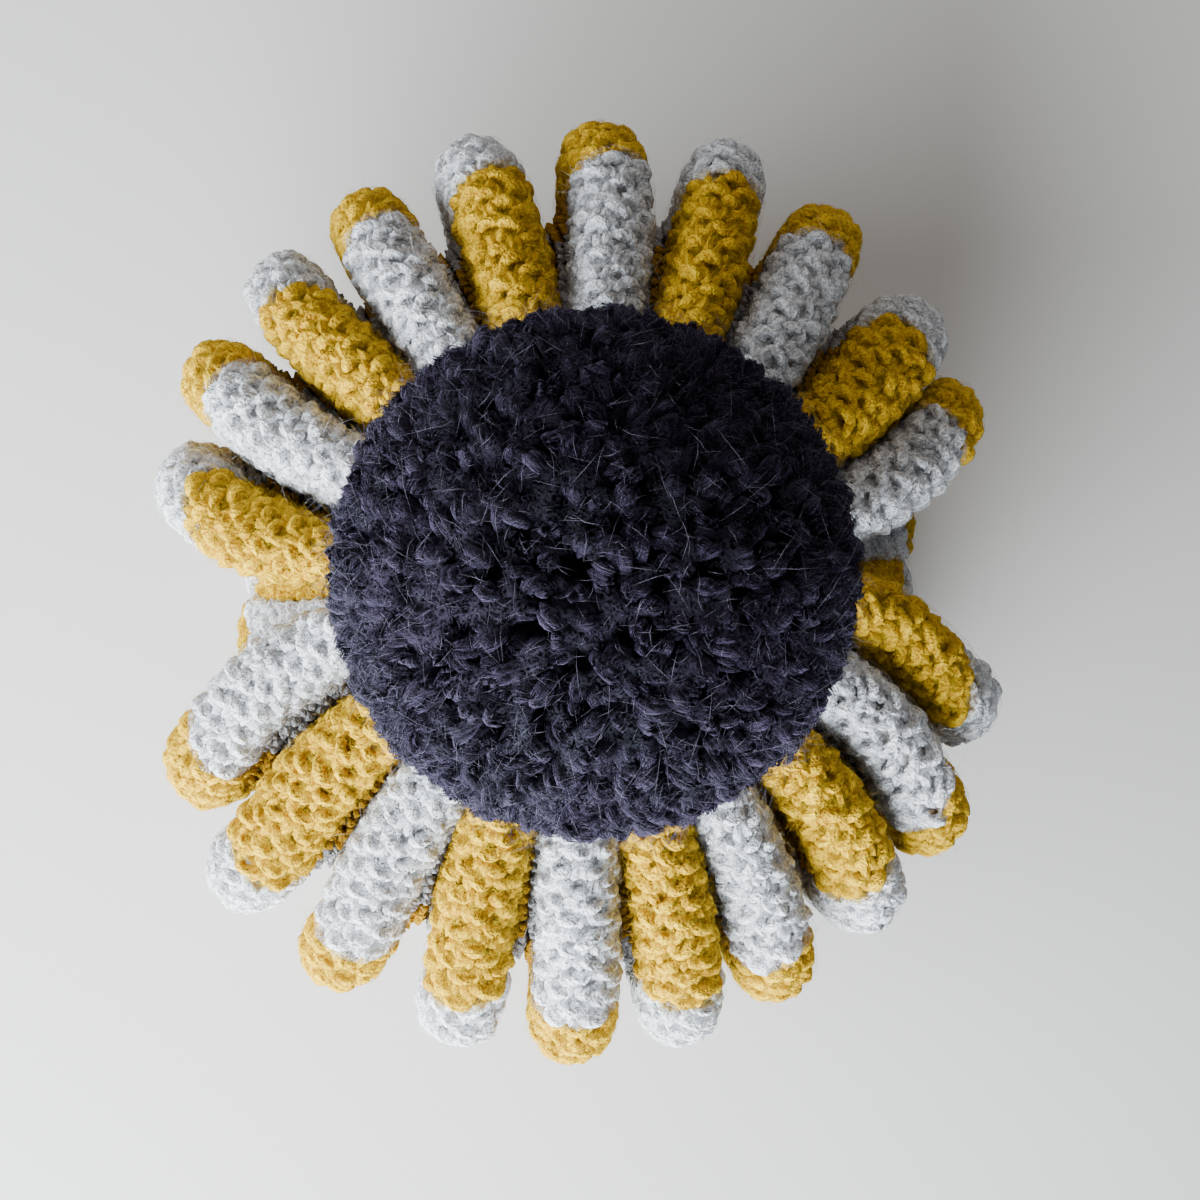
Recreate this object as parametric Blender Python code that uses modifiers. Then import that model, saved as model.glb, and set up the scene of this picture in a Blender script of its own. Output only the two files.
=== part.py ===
"""A knitted tea cosy: two pleated moss-stitch halves sewn along the sides, and a pompom.

Units are metres and +Z is up. The cosy stands on its hem at z = 0 with its crown over the Z axis.
+X is the side of the pot's handle, -X the side of its spout, and +Y the back.
"""

import math
import random
from collections import namedtuple

import bmesh
import bpy
import numpy as np
from mathutils import Vector

OBJECT_NAME = "tea_cosy"

# Yarn and fabric
FABRIC_THICKNESS = 0.0034
FABRIC_GAP = 0.0003              # left between the two halves, and under the pompom
MUSTARD = (0.52, 0.29, 0.045)
PALE_GREY = (0.58, 0.56, 0.56)
CHARCOAL = (0.050, 0.045, 0.075)

# The halves meet in a seam above the handle and above the spout
HANDLE_SEAM_DEG = 6.5
SPOUT_SEAM_DEG = 182.6
SELVEDGE_SHARE = 0.30            # flat edge beside a seam, as a share of the way to the ridge
SEAM_SETBACK = 0.75 * FABRIC_GAP    # of each half's edge from the line of the seam
PLAN_CENTRE = (-0.001377, -0.000336)   # brings the middle of the outline over the origin

# Across one pleat
STEPS_PER_PLEAT = 10
WALL_LEAN = 1.10                 # over 1, a pleat is wider than its own root
LEAST_VALLEY = FABRIC_THICKNESS + 0.0014   # between the middles of two facing pleat walls

# One row for each pleat, counter-clockwise from the handle seam. crown_deg, shoulder_deg and
# side_deg are where its ridge lies under the pompom, at the shoulder and down the side; reach is
# how far it stands out from the axis; width is that of its bulge; rise lifts its shoulder.
Pleat = namedtuple("Pleat", "crown_deg shoulder_deg side_deg reach width rise")
BACK_PLEATS = [
    Pleat(14.1, 22.4, 25.8, 0.1143, 0.0172, -0.0015),
    Pleat(32.1, 35.6, 38.0, 0.1164, 0.0190, 0.0005),
    Pleat(49.7, 54.5, 55.2, 0.1180, 0.0178, 0.0010),
    Pleat(67.2, 69.9, 70.6, 0.1210, 0.0172, 0.0020),
    Pleat(84.7, 85.3, 87.2, 0.1190, 0.0176, 0.0020),
    Pleat(102.4, 102.8, 104.2, 0.1180, 0.0178, 0.0005),
    Pleat(120.2, 120.3, 119.8, 0.1150, 0.0174, 0.0000),
    Pleat(135.9, 136.4, 134.2, 0.1147, 0.0170, 0.0005),
    Pleat(154.1, 151.4, 149.4, 0.1135, 0.0178, -0.0010),
    Pleat(174.9, 168.9, 164.4, 0.1088, 0.0182, -0.0015),
]
FRONT_PLEATS = [
    Pleat(190.4, 202.6, 205.4, 0.1120, 0.0186, -0.0010),
    Pleat(214.4, 219.6, 220.4, 0.1174, 0.0190, 0.0005),
    Pleat(233.3, 236.3, 236.6, 0.1170, 0.0182, 0.0000),
    Pleat(250.1, 253.7, 254.2, 0.1178, 0.0178, 0.0010),
    Pleat(269.1, 269.6, 269.1, 0.1182, 0.0182, 0.0005),
    Pleat(287.2, 284.8, 283.6, 0.1176, 0.0176, 0.0005),
    Pleat(303.2, 299.3, 297.4, 0.1158, 0.0170, 0.0005),
    Pleat(320.9, 315.7, 313.2, 0.1154, 0.0176, 0.0000),
    Pleat(340.2, 330.4, 326.8, 0.1156, 0.0178, 0.0005),
    Pleat(358.9, 344.9, 343.8, 0.1120, 0.0184, -0.0015),
]

# One row for each level of the fabric, from the hem (up = 0) to the gathered eye (up = 1).
# ridge_out is a share of each pleat's reach, ridge_z its height; deep_in and deep_down are how far
# the valley lies inside and below the ridge; width is a share of each pleat's own, and steep is 1
# where its walls stand upright; thick is less than 1 where the stitches are drawn tight. shoulder
# and side say how far the ridges have turned from their crown angles; opening is 1 where the halves
# part for the handle and the spout; rise is 1 where each pleat's own rise counts.
Level = namedtuple(
    "Level", "up ridge_out ridge_z deep_in deep_down width steep thick shoulder side opening rise")
LEVELS = [
    Level(0.00, 0.950, 0.0000, 0.0235, 0.0000, 0.94, 1.0, 1.00, 0.8, 0.45, 0.0, 0.0),
    Level(0.03, 0.950, 0.0040, 0.0235, 0.0000, 0.94, 1.0, 1.00, 0.8, 0.45, 0.0, 0.0),
    Level(0.11, 0.955, 0.0200, 0.0238, 0.0000, 0.96, 1.0, 1.00, 0.87, 0.66, 0.0, 0.0),
    Level(0.16, 0.962, 0.0300, 0.0242, 0.0000, 0.97, 1.0, 1.00, 0.95, 0.85, 0.60, 0.0),
    Level(0.22, 0.975, 0.0430, 0.0245, 0.0000, 0.98, 1.0, 1.00, 1.0, 1.00, 0.92, 0.0),
    Level(0.33, 0.992, 0.0650, 0.0250, 0.0000, 1.00, 1.0, 1.00, 1.0, 1.00, 1.0, 0.2),
    Level(0.43, 1.000, 0.0850, 0.0250, 0.0000, 1.00, 1.0, 1.00, 1.0, 1.00, 1.0, 0.5),
    Level(0.51, 0.995, 0.1010, 0.0245, 0.0030, 1.00, 1.0, 1.00, 1.0, 1.00, 0.88, 0.8),
    Level(0.58, 0.960, 0.1140, 0.0220, 0.0105, 0.99, 1.0, 1.00, 1.0, 0.75, 0.50, 1.0),
    Level(0.65, 0.880, 0.1245, 0.0165, 0.0175, 0.96, 1.0, 1.00, 1.0, 0.25, 0.0, 1.0),
    Level(0.73, 0.755, 0.1335, 0.0105, 0.0215, 0.90, 1.0, 1.00, 0.65, 0.00, 0.0, 0.8),
    Level(0.81, 0.600, 0.1410, 0.0065, 0.0225, 0.80, 1.0, 0.90, 0.25, 0.00, 0.0, 0.4),
    Level(0.88, 0.435, 0.1465, 0.0030, 0.0125, 0.60, 0.9, 0.75, 0.0, 0.00, 0.0, 0.0),
    Level(0.94, 0.260, 0.1482, 0.0010, 0.0016, 0.34, 0.4, 0.60, 0.0, 0.00, 0.0, 0.0),
    Level(1.00, 0.120, 0.1482, 0.0001, 0.0002, 0.12, 0.0, 0.60, 0.0, 0.00, 0.0, 0.0),
]

# Pompom: a ball of yarn ends, bunched here into locks on a core
POMPOM_CENTRE_Z = 0.1945
CORE_RADIUS = 0.0400
TIP_RADIUS = 0.0490              # to the rim of a lock's end, which bulges past it
TIP_BULGE = 0.0012
TIP_UNEVEN = 0.0010              # how far a lock may stand in or out
LOCK_GAP = 0.0008                # between the roots of neighbouring locks, on each side
LOCK_BLOOM = 1.12                # a lock is this much wider at its tip
LOCK_SWAY = 0.0005               # and leans aside
SEAT_Z = LEVELS[-1].ridge_z + FABRIC_THICKNESS * LEVELS[-1].thick / 2 + FABRIC_GAP
SEAT_ANGLE_DEG = 22.0            # around the bottom of the ball, which is pressed flat
SEAT_SPREAD = 1.5                # and wider, onto the rim of the gathered eye
REST_CLEARANCE = 0.0012          # of the lowest locks over the crown
SEED = 20


def clear_scene():
    for thing in list(bpy.data.objects):
        bpy.data.objects.remove(thing, do_unlink=True)


def make_material(name, colour, roughness):
    material = bpy.data.materials.new(name)
    material.use_nodes = True
    shader = material.node_tree.nodes["Principled BSDF"]
    shader.inputs["Base Color"].default_value = (*colour, 1.0)
    shader.inputs["Roughness"].default_value = roughness
    shader.inputs["Metallic"].default_value = 0.0
    return material


def add_object(name, shape, collection, materials):
    mesh = bpy.data.meshes.new(name)
    shape.to_mesh(mesh)
    shape.free()
    for material in materials:
        mesh.materials.append(material)
    mesh.shade_smooth()
    thing = bpy.data.objects.new(name, mesh)
    collection.objects.link(thing)
    return thing


def level_value(column, up):
    """A column of LEVELS at the heights `up`, along a smooth curve through its rows."""
    knots = np.array([level.up for level in LEVELS])
    values = np.array([getattr(level, column) for level in LEVELS])
    slopes = np.gradient(values, knots)
    row = np.clip(np.searchsorted(knots, up, side="right") - 1, 0, len(knots) - 2)
    span = knots[row + 1] - knots[row]
    t = (up - knots[row]) / span
    start = (1 + 2 * t) * (1 - t) ** 2 * values[row] + t * (1 - t) ** 2 * span * slopes[row]
    end = t * t * (3 - 2 * t) * values[row + 1] + t * t * (t - 1) * span * slopes[row + 1]
    return start + end


def ridge_angle(pleat, up):
    """The angle about Z, in degrees, of a pleat's ridge at the heights `up`."""
    to_shoulder = (pleat.shoulder_deg - pleat.crown_deg) * level_value("shoulder", up)
    to_side = (pleat.side_deg - pleat.shoulder_deg) * level_value("side", up)
    return pleat.crown_deg + to_shoulder + to_side


def edge_angle(pleats, seam_deg, which, up):
    """The angle of a half's own edge: on the seam, or drawn back from it at the opening."""
    end, neighbour = (pleats[0], pleats[1]) if which < 0 else (pleats[-1], pleats[-2])
    half_pitch = (neighbour.side_deg - end.side_deg) / 2
    opening = level_value("opening", up)
    return seam_deg + (end.side_deg - half_pitch - seam_deg) * opening


def valley_angles(pleats, seams, up):
    """The angles of the 11 valleys of a half's 10 pleats at the heights `up`, edges included."""
    ridges = [ridge_angle(pleat, up) for pleat in pleats]
    middles = [(a + b) / 2 for a, b in zip(ridges, ridges[1:])]
    first_edge = edge_angle(pleats, seams[0], -1, up)
    last_edge = edge_angle(pleats, seams[1], 1, up)
    return [first_edge, *middles, last_edge]


def half_point(pleats, seams, index, across, up):
    """A point of the middle of the fabric: `across` runs 0 to 1 over pleat `index`."""
    pleat = pleats[index]
    valleys = valley_angles(pleats, seams, up)
    left, right = valleys[index], valleys[index + 1]
    if index == 0:
        left = left + selvedge_width(pleats, seams, -1, up)
    if index == len(pleats) - 1:
        right = right - selvedge_width(pleats, seams, 1, up)
    pitch = right - left
    before = pleats[max(index - 1, 0)].reach
    after = pleats[min(index + 1, len(pleats) - 1)].reach
    turn = 2 * math.pi * across
    depth = (1 - np.cos(turn)) / 2
    side = np.where(across < 0.5, before, after)
    valley_reach = (side + pleat.reach) / 2
    reach = valley_reach + (pleat.reach - valley_reach) * depth

    ridge_r = level_value("ridge_out", up) * reach
    deep_in = level_value("deep_in", up)
    lobe_share = level_value("width", up) * pleat.width / (np.radians(pitch) * ridge_r)
    steep = level_value("steep", up)
    lean = steep * (ridge_angle(pleat, up) - (left + right) / 2)
    least_valley = LEAST_VALLEY * level_value("thick", up)
    valley_share = least_valley / (np.radians(pitch) * (ridge_r - deep_in))
    widest_share = 1 - valley_share - np.abs(lean) / pitch
    bulge = steep * (np.minimum(lobe_share, widest_share) - 0.5) / 2
    wall = steep * WALL_LEAN / (4 * math.pi)
    along = across + wall * np.sin(2 * turn) - bulge * np.sin(turn)
    angle = np.radians(left + pitch * along + lean * depth)

    radius = ridge_r - deep_in * (1 - depth)
    rise = pleat.rise * level_value("rise", up)
    height = level_value("ridge_z", up) + rise * depth - level_value("deep_down", up) * (1 - depth)
    return radius, angle, height


def selvedge_width(pleats, seams, which, up):
    """How many degrees the flat edge beside a seam takes at the heights `up`."""
    end = pleats[0] if which < 0 else pleats[-1]
    edge = edge_angle(pleats, seams[0] if which < 0 else seams[1], which, up)
    return SELVEDGE_SHARE * np.abs(ridge_angle(end, up) - edge)


def fabric_half(name, pleats, seams, collection, materials):
    """One knitted half: a pleated sheet as an open surface, given its thickness by Solidify."""
    columns = STEPS_PER_PLEAT * len(pleats) + 2
    shape = bmesh.new()
    bmesh.ops.create_grid(shape, x_segments=columns, y_segments=len(LEVELS) - 1, size=1.0)
    rows = []
    for vert in shape.verts:
        column = round((vert.co.x + 1) / 2 * columns)
        row = round((vert.co.y + 1) / 2 * (len(LEVELS) - 1))
        vert.co = place(pleats, seams, column, columns, LEVELS[row].up)
        rows.append(row)
    bmesh.ops.recalc_face_normals(shape, faces=shape.faces)
    outward = sum(face.normal.x * face.calc_center_median().x
                  + face.normal.y * face.calc_center_median().y for face in shape.faces)
    if outward < 0:
        bmesh.ops.reverse_faces(shape, faces=shape.faces)
    thing = add_object(name, shape, collection, materials)
    thick = thing.vertex_groups.new(name="thick")
    for index, level in enumerate(rows):
        thick.add([index], LEVELS[level].thick, "REPLACE")
    wall = thing.modifiers.new("fabric", "SOLIDIFY")
    wall.vertex_group = thick.name
    wall.thickness = FABRIC_THICKNESS
    wall.offset = 0.0
    wall.use_even_offset = False
    return thing


def place(pleats, seams, column, columns, up):
    """The point of a half's sheet at a column of its grid and a height `up`."""
    on_edge = column in (0, columns)
    step = min(max(column - 1, 0), columns - 2)
    index = min(step // STEPS_PER_PLEAT, len(pleats) - 1)
    across = step / STEPS_PER_PLEAT - index
    radius, angle, height = half_point(pleats, seams, index, across, up)
    if on_edge:
        which = -1 if column == 0 else 1
        angle = angle + which * math.radians(selvedge_width(pleats, seams, which, up))
        angle = angle - which * SEAM_SETBACK / radius
    x = PLAN_CENTRE[0] + radius * math.cos(angle)
    y = PLAN_CENTRE[1] + radius * math.sin(angle)
    return float(x), float(y), float(height)


def pompom(collection, material):
    """A ball whose faces are drawn out into locks, pressed flat where it sits on the crown."""
    chance = random.Random(SEED)
    shape = bmesh.new()
    bmesh.ops.create_icosphere(shape, subdivisions=3, radius=CORE_RADIUS)
    seat_limit = -CORE_RADIUS * math.cos(math.radians(SEAT_ANGLE_DEG))
    seat = {vert for vert in shape.verts if vert.co.z < seat_limit}
    locks = [face for face in shape.faces if not seat.intersection(face.verts)]
    for vert in seat:
        vert.co.x *= SEAT_SPREAD
        vert.co.y *= SEAT_SPREAD
        vert.co.z = SEAT_Z - POMPOM_CENTRE_Z
    bmesh.ops.inset_individual(shape, faces=locks, thickness=LOCK_GAP, depth=0.0)
    tips = bmesh.ops.extrude_discrete_faces(shape, faces=locks)["faces"]
    for tip in tips:
        draw_out(tip, chance)
    bmesh.ops.poke(shape, faces=tips, offset=TIP_BULGE)
    bmesh.ops.translate(shape, verts=shape.verts, vec=(*PLAN_CENTRE, POMPOM_CENTRE_Z))
    bmesh.ops.recalc_face_normals(shape, faces=shape.faces)
    return add_object("pompom", shape, collection, [material])


def draw_out(tip, chance):
    """Pulls a lock's end out from the core; a low lock is shorter, so that it clears the crown."""
    centre = tip.calc_center_median()
    outward = centre.normalized()
    reach = TIP_RADIUS + chance.uniform(-TIP_UNEVEN, TIP_UNEVEN)
    lowest = min(vert.co.z - centre.z for vert in tip.verts) * LOCK_BLOOM - LOCK_SWAY - TIP_BULGE
    floor = SEAT_Z + REST_CLEARANCE - POMPOM_CENTRE_Z - lowest
    if outward.z < 0:
        reach = max(min(reach, floor / outward.z), centre.length + LOCK_GAP)
    sway = Vector([chance.uniform(-LOCK_SWAY, LOCK_SWAY) for _ in range(3)])
    for vert in tip.verts:
        vert.co = centre + (vert.co - centre) * LOCK_BLOOM + outward * (reach - centre.length) + sway


def main():
    clear_scene()
    collection = bpy.data.collections.new(OBJECT_NAME)
    bpy.context.scene.collection.children.link(collection)
    grey = make_material("pale_grey_wool", PALE_GREY, 0.9)
    mustard = make_material("mustard_wool", MUSTARD, 0.9)
    charcoal = make_material("charcoal_wool", CHARCOAL, 0.95)
    seams = (HANDLE_SEAM_DEG, SPOUT_SEAM_DEG)
    fabric_half("back_half", BACK_PLEATS, seams, collection, [grey, mustard])
    seams = (SPOUT_SEAM_DEG, HANDLE_SEAM_DEG + 360.0)
    fabric_half("front_half", FRONT_PLEATS, seams, collection, [grey, mustard])
    pompom(collection, charcoal)


main()
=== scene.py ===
"""The looks of a knitted tea cosy: moss stitch in round yarn, a cut pompom, and their fuzz.

Units are metres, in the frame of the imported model: the cosy stands on its hem at z = 0 with its
crown over the Z axis, and +X is the side of the pot's handle.
"""

import math
from collections import namedtuple

import bmesh
import bpy
import numpy as np
from mathutils import Matrix, Vector, noise


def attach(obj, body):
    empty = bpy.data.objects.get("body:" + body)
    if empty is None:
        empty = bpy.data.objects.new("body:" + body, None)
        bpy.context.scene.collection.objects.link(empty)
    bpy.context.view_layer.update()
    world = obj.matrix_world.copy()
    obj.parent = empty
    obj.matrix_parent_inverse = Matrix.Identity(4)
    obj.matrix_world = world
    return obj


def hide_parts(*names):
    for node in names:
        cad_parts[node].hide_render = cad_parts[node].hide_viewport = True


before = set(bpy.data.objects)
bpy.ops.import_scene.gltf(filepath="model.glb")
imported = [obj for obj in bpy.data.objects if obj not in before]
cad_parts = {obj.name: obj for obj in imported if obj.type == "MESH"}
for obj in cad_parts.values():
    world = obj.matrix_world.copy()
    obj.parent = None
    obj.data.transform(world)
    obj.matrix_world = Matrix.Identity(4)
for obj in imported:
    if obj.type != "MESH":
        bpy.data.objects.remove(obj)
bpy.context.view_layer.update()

TURN = 2 * math.pi

# --- The pleated fabric: the solids' own tables ---

FABRIC_THICKNESS = 0.0034
FABRIC_GAP = 0.0003
HANDLE_SEAM_DEG = 6.5
SPOUT_SEAM_DEG = 182.6
SELVEDGE_SHARE = 0.30            # flat edge beside a seam, as a share of the way to the ridge
SEAM_SETBACK = 0.75 * FABRIC_GAP
PLAN_CENTRE = (-0.001377, -0.000336)
WALL_LEAN = 1.10                 # over 1, a pleat is wider than its own root
LEAST_VALLEY = FABRIC_THICKNESS + 0.0014

# One row for each pleat, counter-clockwise from the handle seam
Pleat = namedtuple("Pleat", "crown_deg shoulder_deg side_deg reach width rise")
BACK_PLEATS = [Pleat(*row) for row in [
    (14.1, 22.4, 25.8, 0.1143, 0.0172, -0.0015),
    (32.1, 35.6, 38.0, 0.1164, 0.0190, 0.0005),
    (49.7, 54.5, 55.2, 0.1180, 0.0178, 0.0010),
    (67.2, 69.9, 70.6, 0.1210, 0.0172, 0.0020),
    (84.7, 85.3, 87.2, 0.1190, 0.0176, 0.0020),
    (102.4, 102.8, 104.2, 0.1180, 0.0178, 0.0005),
    (120.2, 120.3, 119.8, 0.1150, 0.0174, 0.0000),
    (135.9, 136.4, 134.2, 0.1147, 0.0170, 0.0005),
    (154.1, 151.4, 149.4, 0.1135, 0.0178, -0.0010),
    (174.9, 168.9, 164.4, 0.1088, 0.0182, -0.0015),
]]
FRONT_PLEATS = [Pleat(*row) for row in [
    (190.4, 202.6, 205.4, 0.1120, 0.0186, -0.0010),
    (214.4, 219.6, 220.4, 0.1174, 0.0190, 0.0005),
    (233.3, 236.3, 236.6, 0.1170, 0.0182, 0.0000),
    (250.1, 253.7, 254.2, 0.1178, 0.0178, 0.0010),
    (269.1, 269.6, 269.1, 0.1182, 0.0182, 0.0005),
    (287.2, 284.8, 283.6, 0.1176, 0.0176, 0.0005),
    (303.2, 299.3, 297.4, 0.1158, 0.0170, 0.0005),
    (320.9, 315.7, 313.2, 0.1154, 0.0176, 0.0000),
    (340.2, 330.4, 326.8, 0.1156, 0.0178, 0.0005),
    (358.9, 344.9, 343.8, 0.1120, 0.0184, -0.0015),
]]

# One row for each level of the fabric, from the hem (up = 0) to the gathered eye (up = 1)
Level = namedtuple(
    "Level", "up ridge_out ridge_z deep_in deep_down width steep thick shoulder side opening rise")
LEVELS = [Level(*row) for row in [
    (0.00, 0.950, 0.0000, 0.0235, 0.0000, 0.94, 1.0, 1.00, 0.8, 0.45, 0.0, 0.0),
    (0.03, 0.950, 0.0040, 0.0235, 0.0000, 0.94, 1.0, 1.00, 0.8, 0.45, 0.0, 0.0),
    (0.11, 0.955, 0.0200, 0.0238, 0.0000, 0.96, 1.0, 1.00, 0.87, 0.66, 0.0, 0.0),
    (0.16, 0.962, 0.0300, 0.0242, 0.0000, 0.97, 1.0, 1.00, 0.95, 0.85, 0.60, 0.0),
    (0.22, 0.975, 0.0430, 0.0245, 0.0000, 0.98, 1.0, 1.00, 1.0, 1.00, 0.92, 0.0),
    (0.33, 0.992, 0.0650, 0.0250, 0.0000, 1.00, 1.0, 1.00, 1.0, 1.00, 1.0, 0.2),
    (0.43, 1.000, 0.0850, 0.0250, 0.0000, 1.00, 1.0, 1.00, 1.0, 1.00, 1.0, 0.5),
    (0.51, 0.995, 0.1010, 0.0245, 0.0030, 1.00, 1.0, 1.00, 1.0, 1.00, 0.88, 0.8),
    (0.58, 0.960, 0.1140, 0.0220, 0.0105, 0.99, 1.0, 1.00, 1.0, 0.75, 0.50, 1.0),
    (0.65, 0.880, 0.1245, 0.0165, 0.0175, 0.96, 1.0, 1.00, 1.0, 0.25, 0.0, 1.0),
    (0.73, 0.755, 0.1335, 0.0105, 0.0215, 0.90, 1.0, 1.00, 0.65, 0.00, 0.0, 0.8),
    (0.81, 0.600, 0.1410, 0.0065, 0.0225, 0.80, 1.0, 0.90, 0.25, 0.00, 0.0, 0.4),
    (0.88, 0.435, 0.1465, 0.0030, 0.0125, 0.60, 0.9, 0.75, 0.0, 0.00, 0.0, 0.0),
    (0.94, 0.260, 0.1482, 0.0010, 0.0016, 0.34, 0.4, 0.60, 0.0, 0.00, 0.0, 0.0),
    (1.00, 0.120, 0.1482, 0.0001, 0.0002, 0.12, 0.0, 0.60, 0.0, 0.00, 0.0, 0.0),
]]

Half = namedtuple("Half", "name pleats first_seam last_seam")
HALVES = [
    Half("back_half", BACK_PLEATS, HANDLE_SEAM_DEG, SPOUT_SEAM_DEG),
    Half("front_half", FRONT_PLEATS, SPOUT_SEAM_DEG, HANDLE_SEAM_DEG + 360.0),
]
PLEATS = len(BACK_PLEATS)        # of each half

# The knitting
STITCHES_PER_PLEAT = 16
ROW_PITCH = 0.00408
FIRST_ROW = 0.0015               # from the hem to the middle of the lowest row
KNITTED_SHARE = 0.965            # of the fabric, from the hem to where the pompom hides it
HALF_COUNT_ROWS = 6              # this near to the last row, a pleat has half its stitches
QUARTER_COUNT_ROWS = 3           # and this near, a quarter
COLOUR_CHANGE_ROW = 32           # from this row up, a pleat's top has another colour


def level_value(column, up):
    """A column of LEVELS at the heights `up`, along a smooth curve through its rows."""
    knots = np.array([level.up for level in LEVELS])
    values = np.array([getattr(level, column) for level in LEVELS])
    slopes = np.gradient(values, knots)
    row = np.clip(np.searchsorted(knots, up, side="right") - 1, 0, len(knots) - 2)
    span = knots[row + 1] - knots[row]
    t = (up - knots[row]) / span
    start = (1 + 2 * t) * (1 - t) ** 2 * values[row] + t * (1 - t) ** 2 * span * slopes[row]
    end = t * t * (3 - 2 * t) * values[row + 1] + t * t * (t - 1) * span * slopes[row + 1]
    return start + end


def pleat_value(half, column, index):
    """A column of the pleats' table for the pleats numbered `index`."""
    values = np.array([getattr(pleat, column) for pleat in half.pleats])
    return values[np.clip(index, 0, PLEATS - 1)]


def ridge_angle(half, index, up):
    """The angle about Z, in degrees, of the pleats' ridges at the heights `up`."""
    crown = pleat_value(half, "crown_deg", index)
    shoulder = pleat_value(half, "shoulder_deg", index)
    side = pleat_value(half, "side_deg", index)
    to_shoulder = (shoulder - crown) * level_value("shoulder", up)
    return crown + to_shoulder + (side - shoulder) * level_value("side", up)


def edge_angle(half, which, up):
    """The angle of a half's own edge: on the seam, or drawn back from it at the opening."""
    end, neighbour = half.pleats[:2] if which < 0 else half.pleats[:-3:-1]
    seam = half.first_seam if which < 0 else half.last_seam
    half_pitch = (neighbour.side_deg - end.side_deg) / 2
    return seam + (end.side_deg - half_pitch - seam) * level_value("opening", up)


def selvedge_width(half, which, up):
    """How many degrees the flat edge beside a seam takes at the heights `up`."""
    end = 0 if which < 0 else PLEATS - 1
    return SELVEDGE_SHARE * np.abs(ridge_angle(half, end, up) - edge_angle(half, which, up))


def fabric_middle(half, column, up):
    """Points of the middle of the fabric. `column` counts pleats, and is under 0 or over their
    number on the two selvedges, which are one column wide."""
    last = PLEATS - 1
    index = np.clip(np.floor(column).astype(int), 0, last)
    across = np.clip(column - index, 0, 1)
    beyond = column - index - across
    ridge = ridge_angle(half, index, up)
    left = (ridge_angle(half, index - 1, up) + ridge) / 2
    right = (ridge_angle(half, index + 1, up) + ridge) / 2
    first_valley = edge_angle(half, -1, up) + selvedge_width(half, -1, up)
    last_valley = edge_angle(half, 1, up) - selvedge_width(half, 1, up)
    left = np.where(index == 0, first_valley, left)
    right = np.where(index == last, last_valley, right)
    pitch = right - left

    turn = TURN * across
    depth = (1 - np.cos(turn)) / 2
    own_reach = pleat_value(half, "reach", index)
    side_reach = pleat_value(half, "reach", np.where(across < 0.5, index - 1, index + 1))
    valley_reach = (side_reach + own_reach) / 2
    ridge_r = level_value("ridge_out", up) * (valley_reach + (own_reach - valley_reach) * depth)
    deep_in = level_value("deep_in", up)
    steep = level_value("steep", up)
    width = level_value("width", up) * pleat_value(half, "width", index)
    lobe_share = width / (np.radians(pitch) * ridge_r)
    lean = steep * (ridge - (left + right) / 2)
    least_valley = LEAST_VALLEY * level_value("thick", up)
    valley_share = least_valley / (np.radians(pitch) * (ridge_r - deep_in))
    widest_share = 1 - valley_share - np.abs(lean) / pitch
    bulge = steep * (np.minimum(lobe_share, widest_share) - 0.5) / 2
    wall = steep * WALL_LEAN / (4 * math.pi)
    along = across + wall * np.sin(2 * turn) - bulge * np.sin(turn)
    radius = ridge_r - deep_in * (1 - depth)

    which = np.sign(beyond)
    edge_width = np.where(which < 0, selvedge_width(half, -1, up), selvedge_width(half, 1, up))
    edge_reach = np.radians(edge_width) - SEAM_SETBACK / radius
    angle = np.radians(left + pitch * along + lean * depth) + beyond * edge_reach
    rise = pleat_value(half, "rise", index) * level_value("rise", up)
    height = level_value("ridge_z", up) + rise * depth - level_value("deep_down", up) * (1 - depth)
    x = PLAN_CENTRE[0] + radius * np.cos(angle)
    y = PLAN_CENTRE[1] + radius * np.sin(angle)
    return np.stack([x, y, height], axis=-1)


def unit(vectors):
    return vectors / np.maximum(np.linalg.norm(vectors, axis=-1, keepdims=True), 1e-12)


COLUMN_STEP, UP_STEP = 0.03, 0.006   # between the points that give a normal


def fabric_normal(half, column, up):
    """The outward normals there."""
    left = np.maximum(column - COLUMN_STEP, -1)
    right = np.minimum(column + COLUMN_STEP, PLEATS + 1)
    along = fabric_middle(half, right, up) - fabric_middle(half, left, up)
    low, high = np.maximum(up - UP_STEP, 0), np.minimum(up + UP_STEP, 1)
    upward = fabric_middle(half, column, high) - fabric_middle(half, column, low)
    return unit(np.cross(along, upward))


# Along a ridge from the hem: the height `up` for a length of fabric
UP_KNOTS = np.linspace(0, 1, 401)
MEAN_REACH = float(np.mean([pleat.reach for half in HALVES for pleat in half.pleats]))
RIDGE_STEPS = np.hypot(np.diff(level_value("ridge_out", UP_KNOTS) * MEAN_REACH),
                       np.diff(level_value("ridge_z", UP_KNOTS)))
RIDGE_LENGTHS = np.concatenate([[0.0], np.cumsum(RIDGE_STEPS)])
FABRIC_LENGTH = float(RIDGE_LENGTHS[-1])
ROWS = int((KNITTED_SHARE * FABRIC_LENGTH - FIRST_ROW) / ROW_PITCH)


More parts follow.
